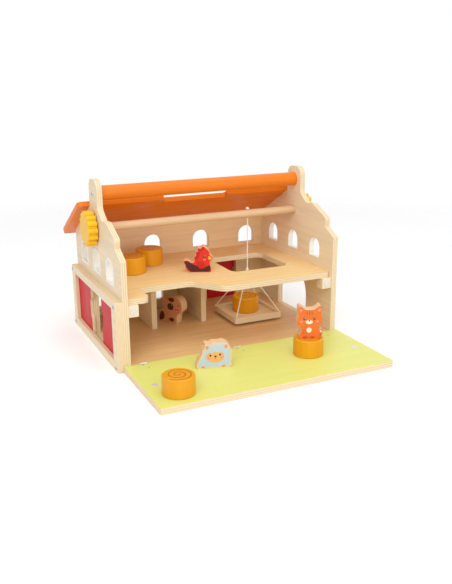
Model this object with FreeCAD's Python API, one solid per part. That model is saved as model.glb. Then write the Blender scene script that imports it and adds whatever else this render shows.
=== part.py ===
# Wooden toy farm: stepped gables, a loft, a fold-down meadow wall, sliding doors and a winch hoist.
# Millimetres; x runs along the house, y to the back, z up, with z 0 on the underside of the base.
import FreeCAD
import Part
import math
import os

V = FreeCAD.Vector

# House carcass
house_length = 320.0
house_depth = 224.0
ply = 8.0
base_thick = 9.0
floor_top = 96.0
eave_rise = 51.0
slope_rise = 51.0
finial_rise = 38.0
finial_half = 19.0
finial_round = 13.0
finial_foot_round = 10.0
eave_round = 3.0
step_round = 6.0

# Stepped front slope of a gable: places along the slope as shares, heights off the straight slope
foot_share = 0.81
foot_drop = 2.5
ledge_share = 0.62
ledge_lift = 8.5
shoulder_share = 0.22
shoulder_lift = 13.0
notch_share = 0.25

# Windows and doorways
window_width = 28.0
window_height = 28.0
gable_window_pitch = 63.0
gable_sill_rise = 14.0
back_window_margin = 29.0
back_window_shares = (-0.5, -1 / 6, 1 / 6, 0.5)
back_sill_rise = 5.0
stall_sill_rise = 13.0
trim_band = 3.5
trim_thick = 0.5
arch_width = 86.0
arch_headroom = 4.0
side_doorway_width = 62.0
doorway_headroom = 11.0
doorway_round = 8.0

# Loft floor
floor_setback = 6.0
lobe_width = 31.0
lobe_round = 8.0
bay_setback = 50.0
bay_width = 75.0
bay_round = 6.0
swell_run = 32.0
swell_round = 16.0
floor_end_round = 4.0
trap_margin = 7.0
trap_round = 12.0
stall_share = 0.2336
divider_depth = 98.0

# Roof board on the back slope
roof_thick = 7.0
roof_side = 16.0
roof_eave = 16.0
roof_gap = 2.0
roof_round = 7.0
finger_length = 100.0
finger_depth = 9.0
finger_round = 4.0
roof_screw_shares = (0.3, 0.9)

# Rod, axle and toothed knobs
rod_dia = 20.0
rod_drop = 19.0
axle_dia = 12.0
axle_drop = 28.0
axle_clear = 0.4
knob_gap = 1.5
knob_thick = 13.0
knob_root_dia = 41.0
knob_teeth = 14
knob_tooth_share = 0.76
knob_wall = 3.0
knob_bevel = 0.5

# Hoist line and tray
line_dia = 1.6
line_clear = 0.2
tray_share = 0.48
tray_size = 78.0
tray_thick = 4.0
tray_rim_wide = 5.0
tray_rim_tall = 5.0
tray_round = 3.0
tray_lift_off = 4.0
knot_rise = 62.0
knot_dia = 5.0

# Fold-down front wall, hinges and magnets
wall_height = 136.0
wall_side = 2.0
wall_round = 3.0
sheet_thick = 0.6
hinge_gap = 0.5
hinge_from_end = 24.0
hinge_length = 10.0
knuckle_count = 3
hinge_knuckle_dia = 2.4
hinge_pin_dia = 1.0
hinge_bore_clear = 0.3
hinge_side_clear = 0.3
leaf_thick = 0.8
leaf_tall = 7.0
leaf_seat = 0.1
nail_dia = 3.0
nail_length = 6.0
nail_proud = 0.3
nail_rows = (6.0, 17.0)
nail_steps = (-2.0, 2.0)
block_wide = 14.0
block_deep = 14.0
block_tall = 15.0
block_setback = 2.0
magnet_dia = 9.0
magnet_thick = 3.0
magnet_proud = 1.0
keeper_thick = 1.5
keeper_proud = 0.2

# Sliding doors in a channel behind a frame
door_thick = 4.0
slide_clear = 0.3
frame_thick = 5.0
frame_drop = 1.0
channel_end = 9.0
channel_foot = 7.0
channel_head = 7.0
frame_end = 18.0
frame_foot = 13.0
frame_head = 11.0
frame_round = 2.0
side_door_open = 27.0
side_door_clear = 2.0
hollow_deep = 5.0
hollow_tall = 30.0
hollow_round = 5.0
back_door_width = 60.0
back_door_margin = 45.0
back_door_slide = 50.0
back_door_cover = 3.0
back_end_clear = 1.0

# Screws
screw_dia = 3.0
screw_head_dia = 6.4
screw_head_tall = 1.6
screw_crown_dia = 5.0
screw_clear = 0.15
roof_screw_length = 18.0
rod_screw_length = 24.0
frame_screw_length = 14.0
frame_screw_inset = 6.0

# Loose toys
bale_dia = 40.0
bale_tall = 24.0
bale_bevel = 1.0
toy_thick = 15.0
sheep_width = 46.0
sheep_tall = 35.0
hen_width = 42.0
hen_tall = 38.0
calf_width = 42.0
calf_tall = 42.0
cat_width = 34.0
cat_tall = 46.0

# Places of the loose toys, as shares of the floor that each stands on, and their angles in degrees
meadow_bale_shares = (-0.79, 0.78)
cat_bale_shares = (0.46, 0.48)
sheep_shares = (-0.35, 0.35)
loft_bale_left_shares = (-0.68, 0.19)
loft_bale_right_shares = (-0.42, 0.55)
hen_shares = (-0.10, -0.16)
calf_shares = (0.46, 0.25)
tray_bale_back = 6.0
sheep_angle = -15.0
hen_angle = -24.0
calf_angle = -55.0
cat_angle = -22.0

# Derived places
half_length = house_length / 2
half_depth = house_depth / 2
inner_x = half_length - ply
inner_back = half_depth - ply
eave_height = floor_top + eave_rise
slope_top = eave_height + slope_rise
finial_top = slope_top + finial_rise
slope_run = half_depth - finial_half
slope_length = math.hypot(slope_run, slope_rise)
slope_dir = V(0, slope_run / slope_length, -slope_rise / slope_length)
slope_normal = V(0, slope_rise / slope_length, slope_run / slope_length)
floor_under = floor_top - ply
gable_sill = floor_top + gable_sill_rise
back_sill = floor_top + back_sill_rise
stall_sill = base_thick + stall_sill_rise
stall_width = stall_share * 2 * inner_x
tray_from_middle = tray_share * inner_x
back_window_span = 2 * (inner_x - back_window_margin)
arch_height = floor_under - arch_headroom - base_thick
doorway_height = floor_under - doorway_headroom - base_thick
frame_top = floor_top - frame_drop
rod_height = finial_top - rod_drop
axle_height = slope_top - axle_drop
axle_radius = axle_dia / 2
knob_tooth_dia = knob_tooth_share * math.pi * knob_root_dia / knob_teeth
tray_bottom = base_thick + tray_lift_off
tray_floor = tray_bottom + tray_thick
tray_top = tray_floor + tray_rim_tall
knot_height = tray_top + knot_rise
channel_thick = door_thick + 2 * slide_clear
back_door_right = inner_x - back_door_margin
back_door_left = back_door_right - back_door_width
hinge_y = -(half_depth + hinge_gap / 2)
hinge_z = base_thick
wall_back = hinge_y - hinge_gap / 2
wall_front = wall_back - wall_height
magnet_z = floor_under - block_tall / 2
magnet_x = inner_x - block_wide / 2
keeper_y = hinge_y - (magnet_z - hinge_z)
TINY = 1e-6


def in_yz(x):
    return lambda u, v: V(x, u, v)


def in_xz(y):
    return lambda u, v: V(u, y, v)


def in_xy(z):
    return lambda u, v: V(u, v, z)


def on_slope(u, v):
    return V(u, finial_half, slope_top) + slope_dir * v


def outline(corners, place):
    """Flat face through corners (u, v, round); a round above 0 becomes a tangent arc."""
    arcs = []
    for i, (u, v, radius) in enumerate(corners):
        here = place(u, v)
        back = place(*corners[i - 1][:2]) - here
        ahead = place(*corners[(i + 1) % len(corners)][:2]) - here
        if radius <= 0:
            arcs.append((here, None, here))
            continue
        back.normalize()
        ahead.normalize()
        half_angle = back.getAngle(ahead) / 2
        reach = radius / math.tan(half_angle)
        middle = back + ahead
        middle.normalize()
        crown = here + middle * (radius / math.sin(half_angle) - radius)
        arcs.append((here + back * reach, crown, here + ahead * reach))
    edges = []
    for i, (start, crown, end) in enumerate(arcs):
        if crown is not None:
            edges.append(Part.Arc(start, crown, end).toShape())
        following = arcs[(i + 1) % len(arcs)][0]
        if end.distanceToPoint(following) > TINY:
            edges.append(Part.makeLine(end, following))
    return Part.Face(Part.Wire(edges))


def plate(corners, place, thickness):
    return outline(corners, place).extrude(thickness)


def rectangle(u0, u1, v0, v1, radius=0):
    return [(u0, v0, radius), (u1, v0, radius), (u1, v1, radius), (u0, v1, radius)]


def arch(u, sill, width, height):
    left = u - width / 2
    right = u + width / 2
    top = sill + height
    return [(left, sill, 0), (right, sill, 0), (right, top, width / 2), (left, top, width / 2)]


def box(x0, x1, y0, y1, z0, z1):
    return Part.makeBox(x1 - x0, y1 - y0, z1 - z0, V(x0, y0, z0))


def rod(dia, start, direction, length):
    return Part.makeCylinder(dia / 2, length, start, direction)


def rod_between(dia, start, end):
    return rod(dia, start, end - start, start.distanceToPoint(end))


def group(solids):
    return Part.makeCompound(solids)


def cut_all(shape, tools):
    return shape.cut(tools) if tools else shape


def eased(shape, bevel, axis, levels):
    """Bevel the edges that lie flat at the given levels along an axis."""
    edges = []
    for edge in shape.Edges:
        heights = [getattr(vertex.Point, axis) for vertex in edge.Vertexes]
        for level in levels:
            if all(abs(height - level) < TINY for height in heights):
                edges.append(edge)
                break
    return shape.makeChamfer(bevel, edges)


def screw(seat, inward, length):
    """Tapered head resting on its seat, with a plain shank running inward."""
    head = Part.makeCone(screw_head_dia / 2, screw_crown_dia / 2, screw_head_tall, seat, -inward)
    return head.fuse(rod(screw_dia, seat, inward, length))


def screw_bore(seat, inward, length):
    return rod(screw_dia + 2 * screw_clear, seat, inward, length + screw_clear)


# Fastener seats
rod_screw_seats = [(V(side * half_length, 0, rod_height), V(-side, 0, 0)) for side in (-1, 1)]
roof_screw_seats = []
for side in (-1, 1):
    for share in roof_screw_shares:
        seat = on_slope(side * (half_length - ply / 2), share * slope_length) + slope_normal * roof_thick
        roof_screw_seats.append((seat, -slope_normal))
rod_bores = [screw_bore(seat, inward, rod_screw_length) for seat, inward in rod_screw_seats]
roof_bores = [screw_bore(seat, inward, roof_screw_length) for seat, inward in roof_screw_seats]

# Side door frame on the left gable
channel_x = -half_length - channel_thick
frame_x = channel_x - frame_thick
frame_corners = rectangle(-half_depth, half_depth, 0, frame_top, frame_round)
side_channel = plate(frame_corners, in_yz(channel_x), V(channel_thick, 0, 0))
slot_top = frame_top - channel_head
view_top = frame_top - frame_head
side_slot = rectangle(channel_end - half_depth, half_depth - channel_end, channel_foot, slot_top)
side_channel = side_channel.cut(plate(side_slot, in_yz(channel_x), V(channel_thick, 0, 0)))
side_frame = plate(frame_corners, in_yz(frame_x), V(frame_thick, 0, 0))
side_window = rectangle(frame_end - half_depth, half_depth - frame_end, frame_foot, view_top)
side_frame = side_frame.cut(plate(side_window, in_yz(frame_x), V(frame_thick, 0, 0)))
side_seats = []
for y in (frame_screw_inset - half_depth, half_depth - frame_screw_inset):
    for z in (frame_screw_inset, frame_top - frame_screw_inset):
        side_seats.append((V(frame_x, y, z), V(1, 0, 0)))
side_bores = [screw_bore(seat, inward, frame_screw_length) for seat, inward in side_seats]

# Back door frame on the back wall
back_slot_left = back_door_left - back_door_slide - back_end_clear
back_slot_right = back_door_right + back_end_clear
back_frame_left = back_slot_left - channel_end
back_frame_right = back_slot_right + channel_end
back_channel_y = half_depth
back_frame_y = back_channel_y + channel_thick
back_corners = rectangle(back_frame_left, back_frame_right, 0, frame_top, frame_round)
back_channel = plate(back_corners, in_xz(back_channel_y), V(0, channel_thick, 0))
back_slot = rectangle(back_slot_left, back_slot_right, channel_foot, slot_top)
back_channel = back_channel.cut(plate(back_slot, in_xz(back_channel_y), V(0, channel_thick, 0)))
back_frame = plate(back_corners, in_xz(back_frame_y), V(0, frame_thick, 0))
back_view = rectangle(back_frame_left + frame_end, back_frame_right - frame_end, frame_foot, view_top)
back_frame = back_frame.cut(plate(back_view, in_xz(back_frame_y), V(0, frame_thick, 0)))
back_seats = []
for x in (back_frame_left + frame_screw_inset, back_frame_right - frame_screw_inset):
    for z in (frame_screw_inset, frame_top - frame_screw_inset):
        back_seats.append((V(x, back_frame_y + frame_thick, z), V(0, -1, 0)))
back_bores = [screw_bore(seat, inward, frame_screw_length) for seat, inward in back_seats]


def on_front_slope(share, lift, radius):
    return (-(half_depth - share * slope_run), eave_height + share * slope_rise + lift, radius)


def gable(x, doorway):
    """Gable board with a stepped front slope, a straight back slope and a finial for the rod."""
    corners = [
        (-half_depth, 0, 0),
        (half_depth, 0, 0),
        (half_depth, eave_height, 0),
        (finial_half, slope_top, 0),
        (finial_half, finial_top, finial_round),
        (-finial_half, finial_top, finial_round),
        (-finial_half, slope_top, finial_foot_round),
        on_front_slope(foot_share, -foot_drop, 0),
        on_front_slope(ledge_share, ledge_lift, step_round),
        on_front_slope(shoulder_share, shoulder_lift, step_round),
        on_front_slope(notch_share, 0, 0),
        (-half_depth, eave_height, eave_round),
    ]
    through = V(ply, 0, 0)
    board = plate(corners, in_yz(x), through)
    cuts = [plate(doorway, in_yz(x), through)]
    for step in (-1, 0, 1):
        window = arch(step * gable_window_pitch, gable_sill, window_width, window_height)
        cuts.append(plate(window, in_yz(x), through))
    cuts.append(rod(axle_dia + 2 * axle_clear, V(x, 0, axle_height), V(1, 0, 0), ply))
    return cut_all(board, cuts + rod_bores + roof_bores + side_bores)


def doorway(left, right):
    """Square doorway from the base up, with its two top corners rounded."""
    top = base_thick + doorway_height
    foot = [(left, base_thick, 0), (right, base_thick, 0)]
    return foot + [(right, top, doorway_round), (left, top, doorway_round)]


side_doorway = doorway(-side_doorway_width / 2, side_doorway_width / 2)
left_gable = gable(-half_length, side_doorway)
right_gable = gable(inner_x, arch(0, base_thick, arch_width, arch_height))


def window_trims(x, out):
    """Thin painted bands around the three windows of a gable, on its outer face."""
    bands = []
    band = 2 * trim_band
    for step in (-1, 0, 1):
        y = step * gable_window_pitch
        edge = arch(y, gable_sill - trim_band, window_width + band, window_height + band)
        hole = arch(y, gable_sill, window_width, window_height)
        bands.append(plate(edge, in_yz(x), out).cut(plate(hole, in_yz(x), out)))
    return bands


left_trims = window_trims(-half_length, V(-trim_thick, 0, 0))
right_trims = window_trims(half_length, V(trim_thick, 0, 0))

# Base board, with seats for the hinge leaves along its front edge
hinge_places = [step * (half_length - hinge_from_end) for step in (-1, 0, 1)]
knuckle_room = hinge_knuckle_dia + 2 * hinge_bore_clear


def hinge_relief(x):
    start = V(x - hinge_length / 2 - hinge_side_clear, hinge_y, hinge_z)
    return rod(knuckle_room, start, V(1, 0, 0), hinge_length + 2 * hinge_side_clear)


def leaf_room(x, y0, y1):
    reach = hinge_length / 2 + leaf_seat
    return box(x - reach, x + reach, y0, y1, hinge_z - leaf_tall - leaf_seat, hinge_z)


base_board = box(-inner_x, inner_x, -half_depth, half_depth, 0, base_thick)
base_cuts = [hinge_relief(x) for x in hinge_places]
base_cuts += [leaf_room(x, -half_depth, -half_depth + leaf_thick) for x in hinge_places]
base_board = cut_all(base_board, base_cuts + back_bores)

# Back wall under the roof slope, with windows over and under the loft and a doorway
back_profile = [
    (inner_back, base_thick, 0),
    (half_depth, base_thick, 0),
    (half_depth, eave_height, 0),
    (inner_back, eave_height + ply * slope_rise / slope_run, 0),
]
back_wall = plate(back_profile, in_yz(-inner_x), V(2 * inner_x, 0, 0))
back_cuts = []
for share in back_window_shares:
    upper = arch(share * back_window_span, back_sill, window_width, window_height)
    back_cuts.append(plate(upper, in_xz(inner_back), V(0, ply, 0)))
    if share < 0:
        lower = arch(share * back_window_span, stall_sill, window_width, window_height)
        back_cuts.append(plate(lower, in_xz(inner_back), V(0, ply, 0)))
doorway_left = back_door_left + back_door_cover
doorway_right = back_door_right - back_door_cover
back_doorway = doorway(doorway_left, doorway_right)
back_cuts.append(plate(back_doorway, in_xz(inner_back), V(0, ply, 0)))
back_wall = cut_all(back_wall, back_cuts + back_bores + roof_bores)

# Loft floor: a lobe by the left gable, a bay, then a swell that carries the trap hole
floor_front = floor_setback - half_depth
lobe_x = lobe_width - inner_x
bay_y = bay_setback - half_depth
swell_start = lobe_x + bay_width
loft_corners = [
    (-inner_x, inner_back, 0),
    (inner_x, inner_back, 0),
    (inner_x, floor_front, floor_end_round),
    (swell_start + swell_run, floor_front, swell_round),
    (swell_start, bay_y, swell_round),
    (lobe_x, bay_y, bay_round),
    (lobe_x, floor_front, lobe_round),
    (-inner_x, floor_front, 0),
]
trap_half = tray_size / 2 + trap_margin
trap = rectangle(
    tray_from_middle - trap_half, tray_from_middle + trap_half, -trap_half, trap_half, trap_round
)
loft_floor = plate(loft_corners, in_xy(floor_under), V(0, 0, ply))
loft_floor = loft_floor.cut(plate(trap, in_xy(floor_under), V(0, 0, ply)))

# Stall dividers between base and loft
divider_front = inner_back - divider_depth
divider_left_x = stall_width - inner_x
divider_right_x = divider_left_x + ply + stall_width


def divider(x):
    return box(x, x + ply, divider_front, inner_back, base_thick, floor_under)


# Roof board lying on the back slopes, notched along its top edge for fingers
roof_half = half_length + roof_side
roof_low = slope_length + roof_eave
finger_low = roof_gap + finger_depth
roof_corners = [
    (-roof_half, roof_gap, roof_round),
    (-finger_length / 2, roof_gap, 0),
    (-finger_length / 2, finger_low, finger_round),
    (finger_length / 2, finger_low, finger_round),
    (finger_length / 2, roof_gap, 0),
    (roof_half, roof_gap, roof_round),
    (roof_half, roof_low, roof_round),
    (-roof_half, roof_low, roof_round),
]
roof_board = cut_all(plate(roof_corners, on_slope, slope_normal * roof_thick), roof_bores)

carry_rod = rod(rod_dia, V(-inner_x, 0, rod_height), V(1, 0, 0), 2 * inner_x)
carry_rod = cut_all(carry_rod, rod_bores)

# Magnet blocks under the front corners of the loft
block_front = block_setback - half_depth
block_back = block_front + block_deep
block_low = floor_under - block_tall
magnet_blocks = []
magnets = []
for side in (-1, 1):
    left = min(side * inner_x, side * (inner_x - block_wide))
    block = box(left, left + block_wide, block_front, block_back, block_low, floor_under)
    seat = V(side * magnet_x, block_front - magnet_proud, magnet_z)
    magnets.append(rod(magnet_dia, seat, V(0, 1, 0), magnet_thick))
    magnet_blocks.append(block.cut(magnets[-1]))

# Fold-down wall: board, green sheet, keepers and hinge nails
wall_half = half_length + wall_side
wall_corners = [
    (-wall_half, wall_back, 0),
    (wall_half, wall_back, 0),
    (wall_half, wall_front, wall_round),
    (-wall_half, wall_front, wall_round),
]
wall_top = base_thick
sheet_z = wall_top - sheet_thick
keepers = []
for side in (-1, 1):
    seat = V(side * magnet_x, keeper_y, wall_top + keeper_proud)
    keepers.append(rod(magnet_dia, seat, V(0, 0, -1), keeper_thick))
nails = []
for x in hinge_places:
    for step, row in zip(nail_steps, nail_rows):
        seat = V(x + step, hinge_y - row, wall_top + nail_proud)
        nails.append(rod(nail_dia, seat, V(0, 0, -1), nail_length))
wall_cuts = keepers + nails + [hinge_relief(x) for x in hinge_places]
wall_cuts += [leaf_room(x, wall_back - leaf_thick, wall_back) for x in hinge_places]
front_wall = cut_all(plate(wall_corners, in_xy(0), V(0, 0, sheet_z)), wall_cuts)
meadow_sheet = cut_all(plate(wall_corners, in_xy(sheet_z), V(0, 0, sheet_thick)), wall_cuts)

# Hinges: the base leaf carries the outer knuckles, the wall leaf the middle one
knuckle_length = (hinge_length - (knuckle_count - 1) * hinge_side_clear) / knuckle_count
knuckle_step = knuckle_length + hinge_side_clear
base_leaves = []
wall_leaves = []
hinge_pins = []
for x in hinge_places:
    starts = [x - hinge_length / 2 + i * knuckle_step for i in range(knuckle_count)]
    knuckles = [rod(hinge_knuckle_dia, V(s, hinge_y, hinge_z), V(1, 0, 0), knuckle_length) for s in starts]
    rooms = []
    for s in starts:
        place = V(s - hinge_side_clear, hinge_y, hinge_z)
        rooms.append(rod(knuckle_room, place, V(1, 0, 0), knuckle_length + 2 * hinge_side_clear))
    low = hinge_z - leaf_tall
    left = x - hinge_length / 2
    right = x + hinge_length / 2
    fixed = box(left, right, -half_depth, -half_depth + leaf_thick, low, hinge_z)
    swung = box(left, right, wall_back - leaf_thick, wall_back, low, hinge_z)
    pin_start = V(left, hinge_y, hinge_z)
    pin = rod(hinge_pin_dia, pin_start, V(1, 0, 0), hinge_length)
    bore = rod(hinge_pin_dia + 2 * hinge_bore_clear, pin_start, V(1, 0, 0), hinge_length)
    base_leaves.append(fixed.cut(rooms[1]).fuse([knuckles[0], knuckles[2]]).cut(pin))
    wall_leaves.append(swung.cut([rooms[0], rooms[2]]).fuse(knuckles[1]).cut(bore))
    hinge_pins.append(pin)

# Sliding doors, each with a finger hollow in its leading edge
door_low = channel_foot + slide_clear
door_high = slot_top - slide_clear
hollow_low = (door_low + door_high - hollow_tall) / 2
hollow_high = hollow_low + hollow_tall


def door_corners(lead, tail):
    """Door outline from its leading edge to its tail; the hollow bites into the leading edge."""
    way = 1 if tail > lead else -1
    return [
        (lead, door_low, 0),
        (tail, door_low, 0),
        (tail, door_high, 0),
        (lead, door_high, 0),
        (lead, hollow_high, hollow_round),
        (lead + way * hollow_deep, hollow_high - hollow_deep, hollow_round),
        (lead + way * hollow_deep, hollow_low + hollow_deep, hollow_round),
        (lead, hollow_low, hollow_round),
    ]


door_x = channel_x + slide_clear
side_through = V(door_thick, 0, 0)
side_door_tail = half_depth - channel_end - side_door_clear
rear_door = plate(door_corners(side_door_open, side_door_tail), in_yz(door_x), side_through)
front_door = plate(door_corners(-side_door_open, -side_door_tail), in_yz(door_x), side_through)
back_door_y = back_channel_y + slide_clear
back_door = plate(door_corners(back_door_right, back_door_left), in_xz(back_door_y), V(0, door_thick, 0))

# Winch axle with a toothed knob on each end
knob_x = half_length + knob_gap
axle_half = knob_x + knob_thick - knob_wall
axle = rod(axle_dia, V(-axle_half, 0, axle_height), V(1, 0, 0), 2 * axle_half)


def knob(side):
    start = V(side * knob_x, 0, axle_height)
    out = V(side, 0, 0)
    body = rod(knob_root_dia, start, out, knob_thick)
    teeth = []
    for i in range(knob_teeth):
        angle = 2 * math.pi * i / knob_teeth
        spoke = V(0, math.cos(angle), math.sin(angle)) * (knob_root_dia / 2)
        teeth.append(rod(knob_tooth_dia, start + spoke, out, knob_thick))
    body = body.fuse(teeth).removeSplitter()
    body = eased(body, knob_bevel, "x", (side * knob_x, side * (knob_x + knob_thick)))
    return body.cut(axle)


left_knob = knob(-1)
right_knob = knob(1)

# Line through a cross hole in the axle, knotted on top, and hanging down to the bridle knot
tray_middle = V(tray_from_middle, 0, 0)
axle_top = axle_height + axle_radius
axle_low = axle_height - axle_radius
axle = axle.cut(rod(line_dia + 2 * line_clear, tray_middle, V(0, 0, 1), axle_top))
stub = rod_between(line_dia, tray_middle + V(0, 0, axle_low), tray_middle + V(0, 0, axle_top))
axle_knot = Part.makeSphere(knot_dia / 2, tray_middle + V(0, 0, axle_top + knot_dia / 4))
axle_knot = axle_knot.cut(rod(axle_dia, V(0, 0, axle_height), V(1, 0, 0), half_length)).fuse(stub)
knot_at = tray_middle + V(0, 0, knot_height)
line_top = axle_low - line_clear
hoist_line = rod_between(line_dia, knot_at, tray_middle + V(0, 0, line_top))
knot = Part.makeSphere(knot_dia / 2, knot_at)
hoist_line = hoist_line.cut(knot)

# Tray, and the bridle whose strings end on its rim
tray_half = tray_size / 2
tie_half = tray_half - tray_rim_wide / 2
tray_left = tray_from_middle - tray_half
tray_right = tray_from_middle + tray_half
tray_edge = rectangle(tray_left, tray_right, -tray_half, tray_half, tray_round)
tray_hollow = rectangle(
    tray_left + tray_rim_wide,
    tray_right - tray_rim_wide,
    -tray_half + tray_rim_wide,
    tray_half - tray_rim_wide,
)
tray_board = plate(tray_edge, in_xy(tray_bottom), V(0, 0, tray_thick))
tray_rim = plate(tray_edge, in_xy(tray_floor), V(0, 0, tray_rim_tall))
tray_rim = tray_rim.cut(plate(tray_hollow, in_xy(tray_floor), V(0, 0, tray_rim_tall)))
bridle = []
for side in (-1, 1):
    for end in (-1, 1):
        tie = tray_middle + V(side * tie_half, end * tie_half, tray_top - line_dia)
        bridle.append(rod_between(line_dia, tie, knot_at).cut([knot, tray_rim]))


def bale(place, z):
    drum = rod(bale_dia, V(place[0], place[1], z), V(0, 0, 1), bale_tall)
    return eased(drum, bale_bevel, "z", (z, z + bale_tall))


# Toy outlines from the left foot over the back to the right foot, as shares of width and height
sheep_edge_shares = [
    (-0.46, 0.0), (-0.50, 0.13), (-0.45, 0.28), (-0.40, 0.42), (-0.34, 0.54), (-0.33, 0.68), (-0.27, 0.79),
    (-0.26, 0.92), (-0.14, 0.92), (-0.03, 0.97), (0.09, 0.96), (0.21, 0.98), (0.33, 0.95), (0.42, 0.86),
    (0.45, 0.74), (0.49, 0.62), (0.47, 0.49), (0.50, 0.36), (0.47, 0.23), (0.49, 0.11), (0.42, 0.0),
]
hen_edge_shares = [
    (-0.28, 0.0), (-0.36, 0.10), (-0.43, 0.20), (-0.43, 0.30), (-0.50, 0.42), (-0.38, 0.46), (-0.20, 0.37),
    (-0.11, 0.46), (-0.13, 0.58), (-0.06, 0.66), (-0.08, 0.77), (0.0, 0.82), (0.0, 0.93), (0.10, 0.93),
    (0.16, 1.0), (0.26, 0.94), (0.37, 0.81), (0.42, 0.66), (0.50, 0.54), (0.42, 0.44), (0.43, 0.20),
    (0.42, 0.0),
]
calf_edge_shares = [
    (-0.50, 0.0), (-0.50, 0.22), (-0.46, 0.40), (-0.34, 0.50), (-0.24, 0.60), (-0.25, 0.70), (-0.38, 0.80),
    (-0.36, 0.90), (-0.20, 0.87), (-0.08, 0.96), (0.10, 1.0), (0.30, 0.97), (0.44, 0.86), (0.50, 0.66),
    (0.46, 0.48), (0.34, 0.38), (0.27, 0.22), (0.27, 0.08), (0.25, 0.0),
]
cat_edge_shares = [
    (-0.36, 0.0), (-0.40, 0.10), (-0.33, 0.22), (-0.34, 0.34), (-0.45, 0.42), (-0.49, 0.56), (-0.45, 0.72),
    (-0.45, 0.88), (-0.40, 0.98), (-0.30, 0.95), (-0.18, 0.88), (0.02, 0.87), (0.18, 0.88), (0.30, 0.95),
    (0.40, 0.98), (0.44, 0.88), (0.44, 0.72), (0.48, 0.56), (0.42, 0.42), (0.33, 0.35), (0.35, 0.27),
    (0.46, 0.30), (0.50, 0.18), (0.45, 0.06), (0.38, 0.0),
]


def toy(shares, width, tall, place, z, angle):
    """Flat wooden animal: a smooth outline with a straight foot, standing upright."""
    points = [V(u * width, -toy_thick / 2, v * tall) for u, v in shares]
    back = Part.BSplineCurve()
    back.interpolate(points)
    wire = Part.Wire([back.toShape(), Part.makeLine(points[-1], points[0])])
    body = Part.Face(wire).extrude(V(0, toy_thick, 0))
    body.rotate(V(0, 0, 0), V(0, 0, 1), angle)
    body.translate(V(place[0], place[1], z))
    return body


def on_meadow(shares):
    return (shares[0] * wall_half, wall_back - shares[1] * wall_height)


def on_loft(shares):
    return (shares[0] * inner_x, shares[1] * inner_back)


cat_bale_place = on_meadow(cat_bale_shares)
calf_place = (divider_left_x + ply + calf_shares[0] * stall_width, calf_shares[1] * inner_back)
tray_bale_place = (tray_from_middle, tray_bale_back)
nodes = {
    "base_board": base_board,
    "left_gable": left_gable,
    "right_gable": right_gable,
    "back_wall": back_wall,
    "loft_floor": loft_floor,
    "stall_divider_left": divider(divider_left_x),
    "stall_divider_right": divider(divider_right_x),
    "roof_board": roof_board,
    "roof_screws": group([screw(seat, inward, roof_screw_length) for seat, inward in roof_screw_seats]),
    "carry_rod": carry_rod,
    "rod_screws": group([screw(seat, inward, rod_screw_length) for seat, inward in rod_screw_seats]),
    "left_window_trims": group(left_trims),
    "right_window_trims": group(right_trims),
    "magnet_block_left": magnet_blocks[0],
    "magnet_block_right": magnet_blocks[1],
    "block_magnets": group(magnets),
    "front_wall": front_wall,
    "meadow_sheet": meadow_sheet,
    "keeper_discs": group(keepers),
    "hinge_nails": group(nails),
    "hinge_base_leaves": group(base_leaves),
    "hinge_wall_leaves": group(wall_leaves),
    "hinge_pins": group(hinge_pins),
    "side_door_channel": cut_all(side_channel, side_bores),
    "side_door_frame": cut_all(side_frame, side_bores),
    "side_frame_screws": group([screw(seat, inward, frame_screw_length) for seat, inward in side_seats]),
    "rear_side_door": rear_door,
    "front_side_door": front_door,
    "back_door_channel": cut_all(back_channel, back_bores),
    "back_door_frame": cut_all(back_frame, back_bores),
    "back_frame_screws": group([screw(seat, inward, frame_screw_length) for seat, inward in back_seats]),
    "back_door": back_door,
    "winch_axle": axle,
    "left_knob": left_knob,
    "right_knob": right_knob,
    "axle_knot": axle_knot,
    "hoist_line": hoist_line,
    "line_knot": knot,
    "bridle_strings": group(bridle),
    "tray_board": tray_board,
    "tray_rim": tray_rim,
    "meadow_bale": bale(on_meadow(meadow_bale_shares), wall_top),
    "cat_bale": bale(cat_bale_place, wall_top),
    "loft_bale_left": bale(on_loft(loft_bale_left_shares), floor_top),
    "loft_bale_right": bale(on_loft(loft_bale_right_shares), floor_top),
    "tray_bale": bale(tray_bale_place, tray_floor),
    "sheep": toy(sheep_edge_shares, sheep_width, sheep_tall, on_meadow(sheep_shares), wall_top, sheep_angle),
    "hen": toy(hen_edge_shares, hen_width, hen_tall, on_loft(hen_shares), floor_top, hen_angle),
    "calf": toy(calf_edge_shares, calf_width, calf_tall, calf_place, base_thick, calf_angle),
    "cat": toy(cat_edge_shares, cat_width, cat_tall, cat_bale_place, wall_top + bale_tall, cat_angle),
}

os.makedirs("parts", exist_ok=True)
for name, shape in nodes.items():
    shape.exportStep(f"parts/{name}.step")
    print(name, len(shape.Solids), "solid", round(shape.Volume), "mm3", "ok" if shape.isValid() else "BAD")
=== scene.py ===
# %% [markdown]
# A wooden toy farm: an open house with stepped gables, a loft with a winch hoist, sliding doors and a
# front wall that folds down into a meadow. The frame brings every board, rod and hinge at its real
# size, in metres. This lesson gives each of them its finish and adds what a saw does not make:
# twisted cotton line, screw heads, painted animals and the spirals on the straw bales.

# %% Frame
import math

import bmesh
import bpy
import numpy as np
from mathutils import Matrix, Vector


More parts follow.
